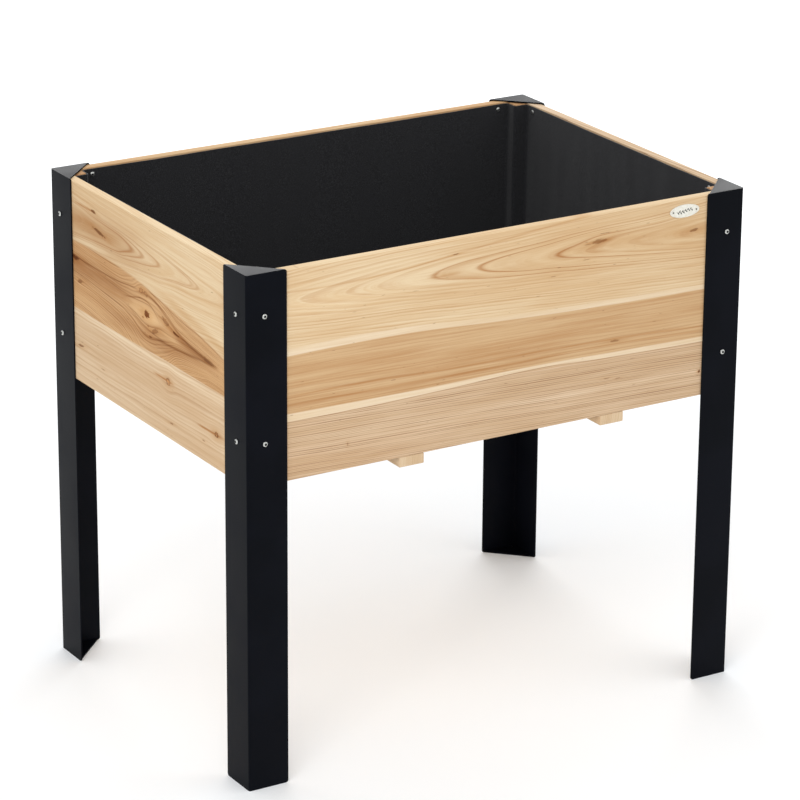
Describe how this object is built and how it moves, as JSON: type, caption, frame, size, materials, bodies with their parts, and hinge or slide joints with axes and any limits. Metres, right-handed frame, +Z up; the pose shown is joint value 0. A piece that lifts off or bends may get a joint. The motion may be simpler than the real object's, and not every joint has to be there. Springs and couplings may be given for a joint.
{
  "type": "raised planter",
  "caption": "Raised planter box of edge-glued softwood boards with a fabric liner, carried by four folded black steel legs.",
  "frame": {"origin": "centre of the footprint of all four legs and their screws, on the ground plane", "axes": "+X along the longer panels towards the label's end, +Y towards the back, +Z up; the labelled panel faces -Y"},
  "size_m": [0.8246, 0.5896, 0.76],
  "materials": {
    "powder_coat": "satin black powder coat",
    "top_board_wood": "planed light softwood with cathedral grain",
    "middle_board_wood": "planed orange-brown softwood heartwood",
    "bottom_board_wood": "planed pinkish softwood with fine straight grain",
    "post_wood": "sawn softwood strip",
    "slat_wood": "planed softwood strip",
    "batten_wood": "planed softwood strip",
    "liner_fabric": "matt black non-woven fabric",
    "label_plate": "cream enamelled plate",
    "label_pin": "darkened steel",
    "zinc": "bright zinc-plated steel"
  },
  "bodies": {
    "root": {"back_bottom_board": "bottom_board_wood", "back_left_leg": "powder_coat", "back_left_post": "post_wood", "back_middle_board": "middle_board_wood", "back_right_leg": "powder_coat", "back_right_post": "post_wood", "back_top_board": "top_board_wood", "batten_screw_left_back": "zinc", "batten_screw_left_front": "zinc", "batten_screw_right_back": "zinc", "batten_screw_right_front": "zinc", "floor_slat_1": "slat_wood", "floor_slat_2": "slat_wood", "floor_slat_3": "slat_wood", "floor_slat_4": "slat_wood", "floor_slat_5": "slat_wood", "floor_slat_6": "slat_wood", "front_bottom_board": "bottom_board_wood", "front_left_leg": "powder_coat", "front_left_post": "post_wood", "front_middle_board": "middle_board_wood", "front_right_leg": "powder_coat", "front_right_post": "post_wood", "front_top_board": "top_board_wood", "label_pin_left": "label_pin", "label_pin_right": "label_pin", "label_plate": "label_plate", "left_batten": "batten_wood", "left_bottom_board": "bottom_board_wood", "left_middle_board": "middle_board_wood", "left_top_board": "top_board_wood", "leg_screw_back_left_lower": "zinc", "leg_screw_back_left_upper": "zinc", "leg_screw_back_right_lower": "zinc", "leg_screw_back_right_upper": "zinc", "leg_screw_front_left_lower": "zinc", "leg_screw_front_left_upper": "zinc", "leg_screw_front_right_lower": "zinc", "leg_screw_front_right_upper": "zinc", "leg_screw_left_back_lower": "zinc", "leg_screw_left_back_upper": "zinc", "leg_screw_left_front_lower": "zinc", "leg_screw_left_front_upper": "zinc", "leg_screw_right_back_lower": "zinc", "leg_screw_right_back_upper": "zinc", "leg_screw_right_front_lower": "zinc", "leg_screw_right_front_upper": "zinc", "liner": "liner_fabric", "liner_screw_back_left": "zinc", "liner_screw_back_right": "zinc", "liner_screw_front_left": "zinc", "liner_screw_front_right": "zinc", "liner_screw_left_back": "zinc", "liner_screw_left_front": "zinc", "liner_screw_right_back": "zinc", "liner_screw_right_front": "zinc", "right_batten": "batten_wood", "right_bottom_board": "bottom_board_wood", "right_middle_board": "middle_board_wood", "right_top_board": "top_board_wood"}
  },
  "joints": []
}
